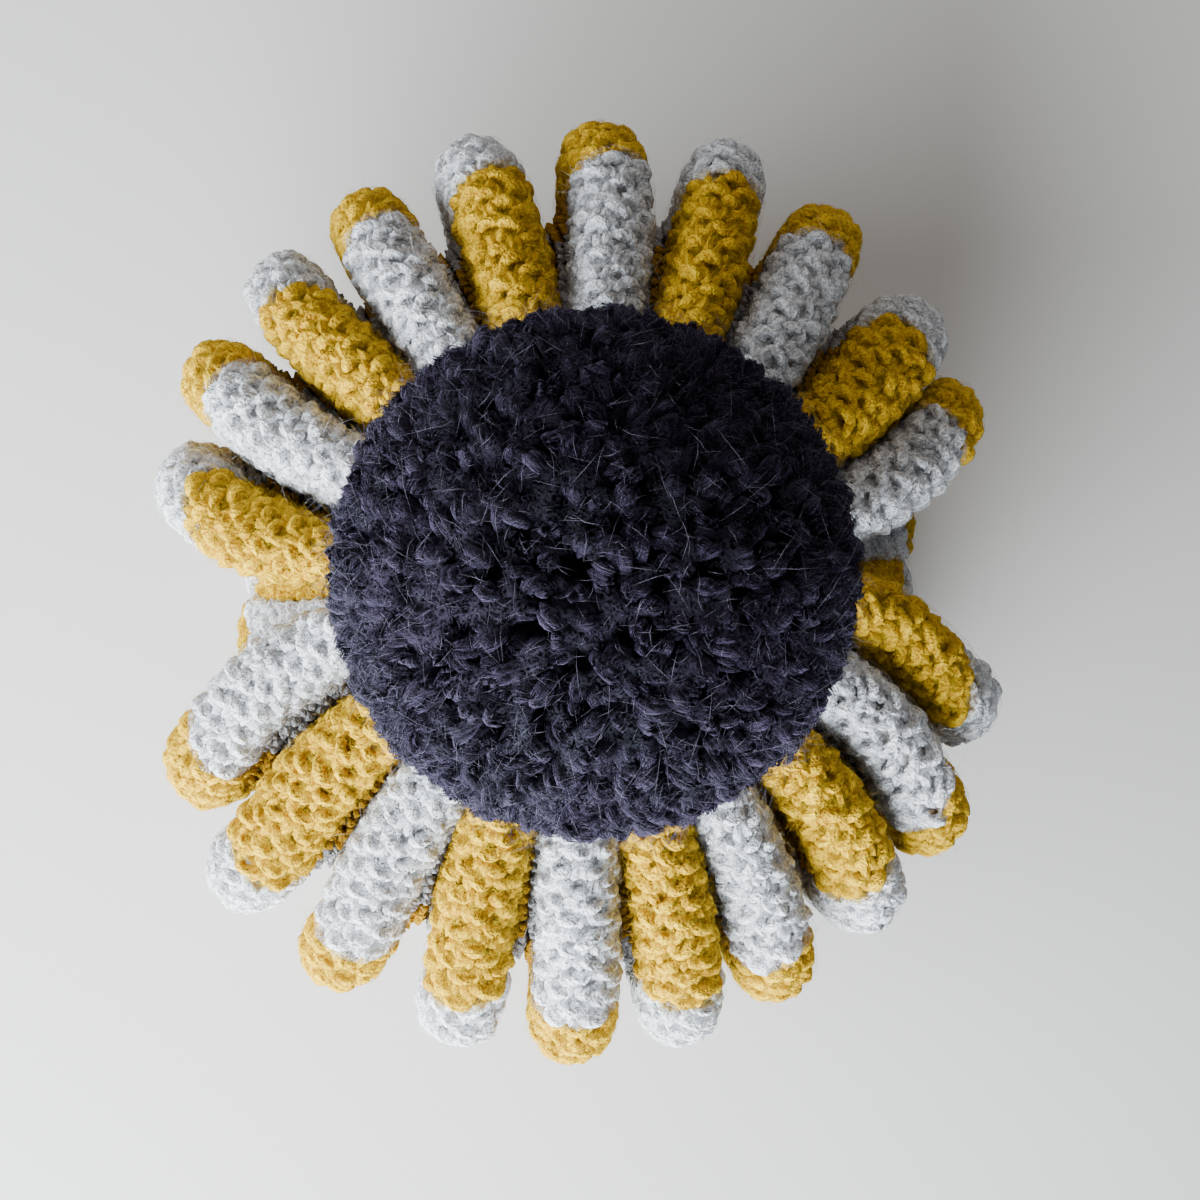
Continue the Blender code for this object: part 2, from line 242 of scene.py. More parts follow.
# The knitting isn't even: the rows run aslant round a pleat, and the stitches wander in waves.
# A wave's size is in stitches or in rows, and it turns by so many radians for a row or a pleat.
Wave = namedtuple("Wave", "size by_row by_pleat")
SWAY_WAVES = [Wave(0.24, 0.47, 2.3), Wave(0.14, 1.1, -5.0)]
LIFT_WAVES = [Wave(0.12, 0.7, 9.0), Wave(0.08, 1.5, -14.0)]
SLANT_SPREAD = 0.7               # in rows
MOST_SHIFT = 0.8                 # in stitches
SELVEDGE_WANDER = 0.6            # as a share of what the stitches on a ridge do
uneven = np.random.default_rng(7)
SLANTS = {half.name: uneven.normal(0, SLANT_SPREAD, PLEATS) for half in HALVES}
SHIFTS = {half.name: uneven.uniform(-MOST_SHIFT, MOST_SHIFT, PLEATS) for half in HALVES}
WAVE_STARTS = uneven.uniform(0, TURN, (2, 2))


def wander(half, wale, row):
    """How far the stitches have moved from even columns and rows, in stitches and in rows."""
    pleat = np.clip(np.floor(wale).astype(int), 0, PLEATS - 1)
    across = np.clip(wale - pleat, 0, 1)
    inside = (wale > 0) & (wale < PLEATS)
    share = np.where(inside, np.sin(math.pi * across) ** 2, SELVEDGE_WANDER)
    sway, lift = (sum(wave.size * np.sin(wave.by_row * row + wave.by_pleat * wale + start)
                      for wave, start in zip(waves, starts))
                  for waves, starts in zip((SWAY_WAVES, LIFT_WAVES), WAVE_STARTS.T))
    slant = SLANTS[half.name][pleat] * np.sin(TURN * across)
    return share * (SHIFTS[half.name][pleat] + sway), share * lift + slant


def up_at(row):
    """The height `up` at a number of rows above the lowest one."""
    return np.interp(FIRST_ROW + row * ROW_PITCH, RIDGE_LENGTHS, UP_KNOTS)


SELVEDGE_STITCHES = 2            # beside each seam
WALE_KNOTS = 32                  # for each pleat
FINE_KNOTS = 2 * WALE_KNOTS
WALE_LEVELS = 60


def wale_table(half):
    """For evenly spaced levels, the columns that divide each pleat's fabric into equal widths."""
    levels = np.linspace(0, 1, WALE_LEVELS)
    columns = np.linspace(0, PLEATS, PLEATS * FINE_KNOTS + 1)
    up, column = np.meshgrid(levels, columns, indexing="ij")
    steps = np.linalg.norm(np.diff(fabric_middle(half, column, up), axis=1), axis=-1)
    lengths = np.concatenate([np.zeros((WALE_LEVELS, 1)), np.cumsum(steps, axis=1)], axis=1)
    table = np.zeros((WALE_LEVELS, PLEATS * WALE_KNOTS + 1))
    for level in range(WALE_LEVELS):
        for pleat in range(PLEATS):
            ends = lengths[level, [pleat * FINE_KNOTS, (pleat + 1) * FINE_KNOTS]]
            wanted = np.linspace(*ends, WALE_KNOTS + 1)
            place = slice(pleat * WALE_KNOTS, (pleat + 1) * WALE_KNOTS + 1)
            table[level, place] = np.interp(wanted, lengths[level], columns)
    return table


WALE_TABLES = {half.name: wale_table(half) for half in HALVES}


def column_at(half, wale, up):
    """The column for a number of pleats counted by the width of their fabric."""
    table = WALE_TABLES[half.name]
    level = np.clip(up, 0, 1) * (WALE_LEVELS - 1)
    row = np.minimum(level.astype(int), WALE_LEVELS - 2)
    inside = np.clip(wale, 0, PLEATS)
    knot = inside * WALE_KNOTS
    left = np.minimum(knot.astype(int), PLEATS * WALE_KNOTS - 1)
    to_right, to_next = knot - left, level - row
    low = table[row, left] * (1 - to_right) + table[row, left + 1] * to_right
    high = table[row + 1, left] * (1 - to_right) + table[row + 1, left + 1] * to_right
    over = (wale - inside) * STITCHES_PER_PLEAT / SELVEDGE_STITCHES
    return low * (1 - to_next) + high * to_next + np.clip(over, -1, 1)


def stitches_across(row):
    """How many stitches a pleat has in a row: fewer just below the gathered top."""
    left = ROWS - row
    fewer = 1 if left > HALF_COUNT_ROWS else 2 if left > QUARTER_COUNT_ROWS else 4
    return STITCHES_PER_PLEAT // fewer


# --- Pieces, and yarn as short tubes ---

def new_object(name, data):
    """Puts a mesh, a light or a camera in the scene."""
    thing = bpy.data.objects.new(name, data)
    bpy.context.scene.collection.objects.link(thing)
    return thing


def new_piece(mesh, materials):
    """A visible piece of the cosy, with its mesh's name."""
    for material in materials:
        mesh.materials.append(material)
    piece = new_object(mesh.name, mesh)
    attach(piece, "root")
    return piece


def mesh_of(name, shape):
    mesh = bpy.data.meshes.new(name)
    shape.to_mesh(mesh)
    shape.free()
    mesh.shade_smooth()
    return mesh


def name_for(half, words):
    """A piece's name: the side that its half is on, and these words."""
    return half.name.replace("half", words)


TWIST_STEP = 0.6180339887        # no two tubes near each other start at the same place
TWIST_SPREAD = 0.02


def tube_faces(rings, sides):
    """One tube's faces, by its points: the first end, the rings one after another, the last."""
    first, last, to_last = 0, rings * sides + 1, (rings - 1) * sides
    pairs = [(1 + k, 1 + (k + 1) % sides) for k in range(sides)]
    start = [[first, near, far] for near, far in pairs]
    finish = [[last, far + to_last, near + to_last] for near, far in pairs]
    body = [[near + r * sides, near + (r + 1) * sides, far + (r + 1) * sides, far + r * sides]
            for r in range(rings - 1) for near, far in pairs]
    return start + body + finish


def turns_of(face, sides, last):
    """How far round the tube the corners of a face are, in turns; an end is in their middle."""
    turns = [(point - 1) % sides / sides if 0 < point < last else None for point in face]
    known = [turn for turn in turns if turn is not None]
    if max(known) - min(known) > 0.5:
        turns = [turn if turn is None or turn >= 0.5 else turn + 1 for turn in turns]
        known = [turn for turn in turns if turn is not None]
    return [sum(known) / len(known) if turn is None else turn for turn in turns]


def add_attribute(mesh, name, values):
    layer = mesh.attributes.new(name, "FLOAT", "POINT")
    layer.data.foreach_set("value", values.astype(np.float32))


def tubes(name, centres, outward, radii, sides, shades=0.0, shares=None):
    """One mesh of many short tubes with closed, pointed ends. `centres` and `outward` have a row
    for each tube and a point for each ring, the two ends included; `radii` broadcasts to them.
    `shades` gives each tube a value, and `shares` each point of a tube's middle."""
    count, rings = centres.shape[0], centres.shape[1] - 2
    radii = np.broadcast_to(radii, centres.shape[:2])[:, 1:-1]
    tangent = unit(np.gradient(centres, axis=1))[:, 1:-1]
    aside = unit(np.cross(tangent, outward[:, 1:-1]))
    upright = np.cross(aside, tangent)
    turn = TURN * np.arange(sides) / sides
    wide, high = np.cos(turn)[:, None], np.sin(turn)[:, None]
    ring = (centres[:, 1:-1, None] + radii[:, :, None, None]
            * (aside[:, :, None] * wide + upright[:, :, None] * high))
    points = np.concatenate([centres[:, :1], ring.reshape(count, -1, 3), centres[:, -1:]], axis=1)

    faces = tube_faces(rings, sides)
    lengths = np.array([len(face) for face in faces])
    loops = np.concatenate([np.array(face) for face in faces])
    each = points.shape[1]

    steps = np.linalg.norm(np.diff(centres, axis=1), axis=-1)
    travelled = np.concatenate([np.zeros((count, 1)), np.cumsum(steps, axis=1)], axis=1)
    along = np.concatenate([[0]] + [[r + 1] * sides for r in range(rings)] + [[rings + 1]])
    twist = np.modf(np.arange(count) * TWIST_STEP)[0] * TWIST_SPREAD
    uv = np.zeros((count, len(loops), 2))
    uv[:, :, 0] = travelled[:, along[loops]] + twist[:, None]
    uv[:, :, 1] = np.concatenate([turns_of(face, sides, each - 1) for face in faces])

    mesh = bpy.data.meshes.new(name)
    mesh.vertices.add(count * each)
    mesh.vertices.foreach_set("co", points.reshape(-1).astype(np.float32))
    mesh.loops.add(count * len(loops))
    offsets = (np.arange(count) * each)[:, None]
    mesh.loops.foreach_set("vertex_index", (loops[None] + offsets).reshape(-1).astype(np.int32))
    mesh.polygons.add(count * len(faces))
    starts = np.concatenate([[0], np.cumsum(lengths)[:-1]])
    starts = (starts[None] + (np.arange(count) * len(loops))[:, None]).reshape(-1)
    mesh.polygons.foreach_set("loop_start", starts.astype(np.int32))
    mesh.update(calc_edges=True)
    layer = mesh.uv_layers.new(name="yarn")
    layer.data.foreach_set("uv", uv.reshape(-1).astype(np.float32))
    add_attribute(mesh, "shade", np.repeat(np.broadcast_to(shades, count), each))
    if shares is not None:
        values = np.concatenate([shares[:1], np.repeat(shares[1:-1], sides), shares[-1:]])
        add_attribute(mesh, "share", np.tile(values, count))
    mesh.validate()
    mesh.shade_smooth()
    return mesh


# --- Materials ---

class Value:
    """A socket of a material's nodes; sums on it add Math nodes."""

    def __init__(self, finish, socket):
        self.finish = finish
        self.socket = socket

    def math(self, operation, *others):
        return self.finish.node("Math", {"operation": operation}, [self, *others])

    def __add__(self, other):
        return self.math("ADD", other)

    def __sub__(self, other):
        return self.math("SUBTRACT", other)

    def __rsub__(self, other):
        return self.finish.node("Math", {"operation": "SUBTRACT"}, [other, self])

    def __mul__(self, other):
        return self.math("MULTIPLY", other)

    def __truediv__(self, other):
        return self.math("DIVIDE", other)

    def __pow__(self, other):
        return self.math("POWER", other)

    __radd__ = __add__
    __rmul__ = __mul__

    def wave(self):
        """From -1 to 1 and back, once for each whole number."""
        return (self * TURN).math("SINE")

    def clamped(self):
        return self.finish.node("Clamp", {}, [self])

    def over(self, edge):
        return self.math("GREATER_THAN", edge)


SPECULAR = 0.12
SHEEN_ROUGHNESS = 0.55


class Finish:
    """A material and its nodes."""

    def __init__(self, name, roughness, sheen, sheen_colour):
        self.material = bpy.data.materials.new(name)
        self.material.use_nodes = True
        self.tree = self.material.node_tree
        self.shader = self.tree.nodes["Principled BSDF"]
        looks = {"Roughness": roughness, "Specular IOR Level": SPECULAR, "Sheen Weight": sheen,
                 "Sheen Roughness": SHEEN_ROUGHNESS, "Sheen Tint": (*sheen_colour, 1.0)}
        for key, value in looks.items():
            self.shader.inputs[key].default_value = value

    def node(self, kind, settings, inputs=(), output=0):
        """Adds a node; inputs are a list in the sockets' order, or a dict of names or numbers."""
        node = self.tree.nodes.new("ShaderNode" + kind)
        for setting, value in settings.items():
            setattr(node, setting, value)
        pairs = inputs.items() if isinstance(inputs, dict) else enumerate(inputs)
        for key, value in pairs:
            if isinstance(value, Value):
                self.tree.links.new(value.socket, node.inputs[key])
            else:
                node.inputs[key].default_value = value
        return Value(self, node.outputs[output])

    def uv(self, layer):
        """The two numbers of a UV layer."""
        both = self.node("UVMap", {"uv_map": layer})
        split = self.node("SeparateXYZ", {}, [both])
        return split, Value(self, split.socket.node.outputs[1])

    def attribute(self, name):
        return self.node("Attribute", {"attribute_name": name}, output="Fac")

    def vector(self, x, y, z):
        return self.node("CombineXYZ", {}, [x, y, z])

    def noise(self, scale, detail=2.0, roughness=0.5, where=None):
        """Noise in the object's own space, or over another vector."""
        where = where or self.node("TexCoord", {}, output="Object")
        inputs = {"Vector": where, "Scale": scale, "Detail": detail, "Roughness": roughness}
        return self.node("TexNoise", {}, inputs)

    def mix(self, share, first, second):
        """From the first colour to the second."""
        colours = [c if isinstance(c, Value) else (*c, 1.0) for c in (first, second)]
        inputs = {0: share, 6: colours[0], 7: colours[1]}
        return self.node("Mix", {"data_type": "RGBA"}, inputs, output=2)

    def fade(self, alpha):
        """Links the alpha, kept from 0 to 1."""
        self.tree.links.new(alpha.clamped().socket, self.shader.inputs["Alpha"])

    def dress(self, colour, height, depth):
        """Links the colour, and the height as a bump of that depth in metres."""
        self.tree.links.new(colour.socket, self.shader.inputs["Base Color"])
        inputs = {"Strength": 1.0, "Distance": depth, "Height": height}
        bump = self.node("Bump", {}, inputs)
        self.tree.links.new(bump.socket, self.shader.inputs["Normal"])
        return self.material


PLY_LENGTH = 0.0060              # of one turn of a ply round the yarn
PLIES = 3
YARN_DEPTH = 0.0004              # of the bumps of its plies and fibres

# A wool's `lit` colour is its colour in light; `deep` is a darker copy of it, for painted shade
Wool = namedtuple("Wool", "name lit deep sheen")
MUSTARD = Wool("mustard_wool", (0.84, 0.53, 0.022), (0.41, 0.195, 0.008), (1.0, 0.70, 0.05))
PALE_GREY = Wool("pale_grey_wool", (0.92, 0.94, 0.99), (0.34, 0.325, 0.33), (0.86, 0.94, 1.0))
CHARCOAL = Wool(
    "charcoal_wool", (0.020, 0.0135, 0.028), (0.0042, 0.0026, 0.006), (0.38, 0.32, 0.58))
CHARCOAL_BLUE = (0.0165, 0.0165, 0.021)      # lit, where it is less purple
SHADED_GROUND_GOLD = (0.24, 0.115, 0.008)           # the cloth behind the stitches, darkened as painted shade
SHADED_GROUND_GREY = (0.28, 0.26, 0.24)
FOLD_PAINTED_SHADE_DARK = (0.05, 0.037, 0.024)             # and deep in a fold, painted shade mottled with the next
FOLD_PAINTED_SHADE_LIGHT = (0.15, 0.125, 0.10)


def yarn_finish(wool):
    """Plied wool, for the stitches: the turns of its plies, its fibres and its fluff."""
    finish = Finish(wool.name, 0.90, 0.13, wool.sheen)
    along, around = finish.uv("yarn")
    ply = (along / PLY_LENGTH + around * PLIES).wave()
    wound = finish.vector(along * 350, around * 9 + along * 900, 0.0)
    fibres = finish.noise(1.0, 2.0, 0.65, wound)
    fluff = finish.noise(1300.0, 1.0, 0.65)
    cloud = finish.noise(70.0, 1.0)
    # From the deep copy to the lit: painted shade in the ply grooves and, by `shade`, in folds
    share = (0.55 + 0.16 * ply + 1.6 * (fibres - 0.5) + 2.2 * (fluff - 0.5) + 0.6 * (cloud - 0.5)
             + finish.attribute("shade"))
    colour = finish.mix(share.clamped(), wool.deep, wool.lit)
    return finish.dress(colour, 0.6 * ply + 1.2 * fibres + 2.4 * fluff, YARN_DEPTH)


def knitted(finish):
    """Where a sheet's points are on the knitting: the wale; 1 in the middle of each bump and -1
    between them; and 1 where the wool is mustard, 0 where it is grey."""
    wale, row = finish.uv("knit")
    holes = (wale * (STITCHES_PER_PLEAT / 2)).wave() * (row * 0.5 + 0.20).wave()
    odd = (wale / 2).math("FRACT").over(0.5)
    top = row.over(COLOUR_CHANGE_ROW - 0.5)
    return wale, holes, (odd - (1.0 - top)).math("ABSOLUTE")


def ground_finish(name, fold_shade):
    """The knitting behind the stitches: both colours, darkened as painted shade and darkest where
    the bumps' holes show it. Deep in a fold its outer face gets more painted shade, by
    `fold_shade`."""
    finish = Finish(name, 0.95, 0.05, PALE_GREY.sheen)
    wale, holes, mustard = knitted(finish)
    fibres = finish.noise(900.0, detail=1.0)
    # Painted shade in the folds' valleys, strongest at their bottoms
    fold = (0.5 + 0.5 * (wale + 0.25).wave()) ** 1.5 * fold_shade
    holes = holes * (1.0 - fold)
    # Painted shade, darkest in the bumps' holes; the fibres vary the tone at random
    dim = (0.45 - 0.35 * holes + 0.5 * (fibres - 0.5)).clamped()
    gold = finish.mix(dim, SHADED_GROUND_GOLD, MUSTARD.deep)
    grey = finish.mix(dim, SHADED_GROUND_GREY, PALE_GREY.deep)
    mottle = finish.noise(260.0, 2.0, 0.7)
    darkness = (0.9 + 2.6 * (mottle - 0.5)).clamped()
    # The colour of the painted shade in the folds, mottled by noise
    deepest = finish.mix(darkness, FOLD_PAINTED_SHADE_LIGHT, FOLD_PAINTED_SHADE_DARK)
    colour = finish.mix(fold, finish.mix(mustard, grey, gold), deepest)
    return finish.dress(colour, 0.9 * fibres - holes - 3.0 * mottle, YARN_DEPTH)


# --- The knitted halves ---

chance = np.random.default_rng(20)

# In moss stitch, every second stitch of a row is a bump and the others show their two legs; the
# next row has them the other way about. The bumps bow towards the hem. Each SPREAD is a standard
# deviation, as a share of a stitch or a row, or of the size itself; or in metres, of what is OUT.
YARN_RADIUS = 0.00158
BUMP_TURNS = np.array([-1.85, -1.3, -0.65, 0.0, 0.65, 1.3, 1.85])
BUMP_SHAPE = np.array([0.70, 0.92, 1.04, 1.08, 1.04, 0.92, 0.70])
BUMP_SIDES = 5
BUMP_ASIDE = 0.46                # of a bump to each side, as a share of a stitch
BUMP_REACH = 0.22                # of a bump along the fabric, as a share of a row
BUMP_SHIFT = 0.03                # of its middle towards the crown, likewise
BUMP_OUT = 0.0003                # of its ends from the middle of the fabric
BUMP_HEIGHT = 0.0009
BUMP_SIZE_SPREAD, BUMP_TILT_SPREAD = 0.10, 0.19
BUMP_WALE_SPREAD, BUMP_ROW_SPREAD = 0.08, 0.055
BUMP_OUT_SPREAD = 0.0002
BUMP_RADIUS_SPREAD, BUMP_RING_SPREAD = 0.09, 0.10
LEG_SIDES = 4
LEG_SHARES = np.array([-1.0, -0.55, 0.0, 0.55, 1.0])
LEG_REACH = 0.55                 # of a leg to each side of its row, as a share of a row
LEG_NEAR, LEG_FAR = 0.11, 0.50   # of its two ends from the stitch's middle, as a share of a stitch
LEG_OUT = 0.0007
LEG_DIVE = 0.0010                # of their ends behind the bumps
LEG_RADIUS = 0.00128
LEG_WALE_SPREAD, LEG_REACH_SPREAD, LEG_LEAN_SPREAD = 0.07, 0.08, 0.12
LEG_OUT_SPREAD = 0.00014
LEG_RADIUS_SPREAD, LEG_RING_SPREAD = 0.10, 0.12
SELVEDGE_IN = 0.0004             # of the stitches beside a seam
LEAST_CLEARANCE = 0.0001         # of the yarn over the floor
SHADE_SPREAD = 0.06
HIDDEN_DEPTH = 0.0142            # stitches deeper between two pleats than this are hardly seen
FOLD_STEP = 3                    # they are bumps with every third ring, fewer sides
FOLD_SIDES = 4
FOLD_SHADE = -0.5                # and a darker colour: painted shade


def fold_depth(half, column, up):
    """How far the middle of the fabric lies inside its ridge; beside a seam, where there is no
    other pleat close by, it counts as half of that."""
    depth = (1 - np.cos(TURN * column)) / 2
    whole = np.hypot(level_value("deep_in", up), level_value("deep_down", up))
    from_edge = np.minimum(column, PLEATS - column)
    open_share = np.where(from_edge < 0, 0.0, np.where(from_edge < 0.5, 0.5, 1.0))
    return (1 - depth) * whole * open_share


def places_of(half, odd_pleats, top):
    """The stitches of one colour: for each, its wale, its row, its width in pleats, whether it is
    a bump and whether it is deep in a fold."""
    found = []
    rows = range(COLOUR_CHANGE_ROW, ROWS + 1) if top else range(COLOUR_CHANGE_ROW)
    for row in rows:
        count = stitches_across(row)
        for pleat in range(PLEATS):
            if (pleat % 2 == 1) != odd_pleats:
                continue
            extra_first = SELVEDGE_STITCHES if pleat == 0 else 0
            extra_last = SELVEDGE_STITCHES if pleat == PLEATS - 1 else 0
            for stitch in range(-extra_first, count + extra_last):
                bump = (stitch + row) % 2 == 0
                if 0 <= stitch < count:
                    found.append((pleat + (stitch + 0.5) / count, row, 1 / count, bump))
                    continue
                # The edge is denser: each of its places has both a bump and legs
                width = 1 / STITCHES_PER_PLEAT
                edge, steps = (pleat, stitch) if stitch < 0 else (pleat + 1, stitch - count)
                wale = edge + (steps + 0.5) * width
                found += [(wale, row, width, bump), (wale, row, width, not bump)]
    found = np.array(found, dtype=float)
    up = up_at(found[:, 1])
    deep = fold_depth(half, column_at(half, found[:, 0], up), up) > HIDDEN_DEPTH
    return np.column_stack([found, deep])


def yarn_piece(half, wool, kind, wale, row, out, radii, sides, shade=0.0):
    """A piece of the strands along these places, which stand out from the middle of the fabric."""
    up = up_at(row)
    column = column_at(half, wale, up)
    normal = fabric_normal(half, column, up)
    out = out - SELVEDGE_IN * ((wale < 0) | (wale > PLEATS))
    centres = fabric_middle(half, column, up) + normal * out[..., None]
    centres[..., 2] = np.maximum(centres[..., 2], radii + LEAST_CLEARANCE)
    shades = chance.normal(shade, SHADE_SPREAD, len(wale))
    name = name_for(half, wool.name.replace("wool", kind))
    mesh = tubes(name, centres, normal, radii, sides, shades)
    return new_piece(mesh, [yarn_finishes[wool.name]])


def vary(spread, count, middle=0.0):
    """A number for each strand."""
    return chance.normal(middle, spread, (count, 1))


def bumps(half, wool, places, kind="bumps", step=1, sides=BUMP_SIDES, shade=0.0):
    """The stitches that are bumps."""
    wale, row, width = (value[:, None] for value in places.T[:3])
    count = len(wale)
    turns = BUMP_TURNS[None, ::step]
    size = vary(BUMP_SIZE_SPREAD, count, 1.0)
    tilt = vary(BUMP_TILT_SPREAD, count)
    wale = wale + width * vary(BUMP_WALE_SPREAD, count)
    row = row + vary(BUMP_ROW_SPREAD, count)
    aside, lift = wander(half, wale, row)
    wale = wale + width * (aside + BUMP_ASIDE * size * np.sin(turns) * (1 + 0.07 * turns ** 2))
    row = row + lift - BUMP_REACH * size * np.cos(turns) + BUMP_SHIFT + tilt * np.sin(turns)
    out = BUMP_OUT + BUMP_HEIGHT * np.cos(turns) + vary(BUMP_OUT_SPREAD, count)
    radii = YARN_RADIUS * BUMP_SHAPE[::step] * vary(BUMP_RADIUS_SPREAD, count, 1.0)
    radii = radii * chance.normal(1.0, BUMP_RING_SPREAD, radii.shape)
    return yarn_piece(half, wool, kind, wale, row, out, radii, sides, shade)


def legs(half, wool, places):
    """The two legs of each stitch between the bumps, a little lower."""
    places = np.repeat(places, 2, axis=0)
    wale, row, width = (value[:, None] for value in places.T[:3])
    count = len(wale)
    side = np.tile([-1.0, 1.0], count // 2)[:, None]
    share = LEG_SHARES[None]
    wale = wale + width * vary(LEG_WALE_SPREAD, count)
    apart = (LEG_NEAR + LEG_FAR) / 2 - (LEG_FAR - LEG_NEAR) / 2 * share
    row = row + LEG_REACH * vary(LEG_REACH_SPREAD, count, 1.0) * share
    aside, lift = wander(half, wale, row)
    lean = vary(LEG_LEAN_SPREAD, count)
    wale = wale + width * (aside + side * apart + lean * share)
    row = row + lift
    out = LEG_OUT - LEG_DIVE * share ** 2 + vary(LEG_OUT_SPREAD, count)
    radii = LEG_RADIUS * vary(LEG_RADIUS_SPREAD, count, 1.0)
    radii = radii * chance.normal(1.0, LEG_RING_SPREAD, (count, len(LEG_SHARES)))
    return yarn_piece(half, wool, "legs", wale, row, out, radii, LEG_SIDES)


def stitches(half, wool, odd_pleats_on_top):
    """The stitches of one colour on one half, as yarn."""
    places = np.concatenate([places_of(half, odd_pleats_on_top, True),
                             places_of(half, not odd_pleats_on_top, False)])
    bump, deep = places[:, 3] > 0.5, places[:, 4] > 0.5
    return [bumps(half, wool, places[bump & ~deep]), legs(half, wool, places[~bump & ~deep]),
            bumps(half, wool, places[deep], "folds", FOLD_STEP, FOLD_SIDES, FOLD_SHADE)]


SHEET_LOWEST = 0.0004
INSIDE_SEAM = 0.004              # of a sheet's places, in pleats, so its edges keep one colour


def cloth(half, words, steps, rows, lengths, out, spread=0.0, deepest=1.0):
    """A sheet that follows the fabric, `out` from its middle, with the knitting's places as UVs;
    what lies deeper in a fold than `deepest` is left out. `spread` makes it uneven."""
    columns = PLEATS * steps + 2
    shape = bmesh.new()
    bmesh.ops.create_grid(shape, x_segments=columns, y_segments=rows, size=1.0)
    grid = (np.array([vert.co for vert in shape.verts]) + 1) / 2
    across = np.round(grid[:, 0] * columns) - 1
    length = lengths[0] + grid[:, 1] * (lengths[1] - lengths[0])
    inside = np.clip(across, 0, columns - 2)
    wale = inside / steps
    up = np.interp(length, RIDGE_LENGTHS, UP_KNOTS)
    column = column_at(half, wale, up) + np.sign(across - inside)
    out = vary(spread, len(grid), out) if spread else out
    points = fabric_middle(half, column, up) + fabric_normal(half, column, up) * out
    points[:, 2] = np.maximum(points[:, 2], SHEET_LOWEST)
    deep = fold_depth(half, column, up) > deepest
    row = (length - FIRST_ROW) / ROW_PITCH
    aside, lift = wander(half, wale, row)
    even_wale = np.clip(wale - aside / STITCHES_PER_PLEAT, INSIDE_SEAM, PLEATS - INSIDE_SEAM)
    row = row - lift
    knit = shape.loops.layers.uv.new("knit")
    for vert, point in zip(shape.verts, points):
        vert.co = point
    for face in shape.faces:
        for loop in face.loops:
            loop[knit].uv = (even_wale[loop.vert.index], row[loop.vert.index])
    hidden = [face for face in shape.faces if any(deep[vert.index] for vert in face.verts)]
    bmesh.ops.delete(shape, geom=hidden, context="FACES")
    shape.normal_update()
    outward = sum(face.normal.xy.dot(face.calc_center_median().xy) for face in shape.faces)
    if outward < 0:
        bmesh.ops.reverse_faces(shape, faces=shape.faces)
    return mesh_of(name_for(half, words), shape)


GROUND_IN = 0.0020               # of the ground's middle from that of the fabric
GROUND_THICKNESS = 0.0014
GROUND_STEPS, GROUND_ROWS = 14, 44           # across a pleat, and from the hem to the crown


def ground(half):
    """The knitted cloth of a half, on which the stitches stand."""
    mesh = cloth(half, "cloth", GROUND_STEPS, GROUND_ROWS, (0.0, FABRIC_LENGTH), -GROUND_IN)
    piece = new_piece(mesh, ground_finishes)
    wall = piece.modifiers.new("fabric", "SOLIDIFY")
    wall.thickness = GROUND_THICKNESS
    wall.offset = 0.0
    wall.use_even_offset = False
    wall.material_offset = 1
    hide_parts(half.name)
    return piece


FluffLayer = namedtuple("FluffLayer", "out cover")
FLUFF_LAYERS = [FluffLayer(0.0021, 0.26), FluffLayer(0.0031, 0.20)]
FLUFF_SPREAD = 0.0003
FLUFF_STEPS, FLUFF_ROWS = 12, 40
FLUFF_START, FLUFF_END = 0.002, 0.86 * FABRIC_LENGTH
FLUFF_DEPTH = 0.0125             # folds deeper than this have no room for it


def fluff_finish(name, cover):
    """A veil of fine curly fibres, open over the bumps' holes."""
    finish = Finish(name, 0.95, 0.0, PALE_GREY.sheen)
    wale, holes, mustard = knitted(finish)
    curls = finish.noise(380.0, 2.0, 0.65)
    gusts = finish.noise(420.0, 0.0)
    fibres = (((curls * 13.0).wave() - 0.50) * 2.2 + (gusts - 0.5) * 2.0).clamped()
    alpha = fibres * (1.0 - (holes - 0.35) * 4.0).clamped() * cover * 2.0
    # Lit and painted-shade copies of the wools, mixed at random by noise
    lit = finish.mix(mustard, PALE_GREY.lit, MUSTARD.lit)
    deep = finish.mix(mustard, PALE_GREY.deep, MUSTARD.deep)
    colour = finish.mix((0.75 + 2.0 * (gusts - 0.5)).clamped(), deep, lit)
    finish.fade(alpha)
    return finish.dress(colour, curls, 0.0008)


def fluff(half, slot, layer):
    """One of the veils of fibres that stand out of the knitting."""
    mesh = cloth(half, f"fluff_{layer}", FLUFF_STEPS, FLUFF_ROWS, (FLUFF_START, FLUFF_END),
                 FLUFF_LAYERS[layer].out, FLUFF_SPREAD, FLUFF_DEPTH)
    return new_piece(mesh, [fluff_finishes[layer]])


# --- The pompom ---

POMPOM_CENTRE = np.array([*PLAN_CENTRE, 0.1945])
TUFTS = 2250
LOCKS = 3                        # in each cut end of yarn
LOCK_SIDES = 4
LOCK_RADIUS = 0.00112
LOCK_APART = 0.00075             # from the middle of the yarn
LOCK_SHARES = np.array([0.0, 0.30, 0.60, 0.82, 0.95, 1.0])
LOCK_SHAPE = np.array([0.0, 0.85, 1.0, 1.0, 0.78, 0.0])
LOCK_WIND = 1.5                  # of the locks round each other, in radians
BEND_STEPS = 25                  # in which a lock's bend is summed
TUFT_TIP = 0.0488                # from the pompom's middle
TUFT_LENGTH = 0.0074
LEAST_CURL, MOST_CURL = 0.1, 1.9             # of a tip, in radians
TOP_SHADE = -0.42                # painted shade on the tufts that point up
TOP_FROM, TOP_SPAN = 0.68, 0.3               # as the height of their direction
UPPER_FROM = 0.18                # two meshes share the tufts: those above this, and the others
CROWN_Z = 0.1497
CORE_RADIUS = 0.0410


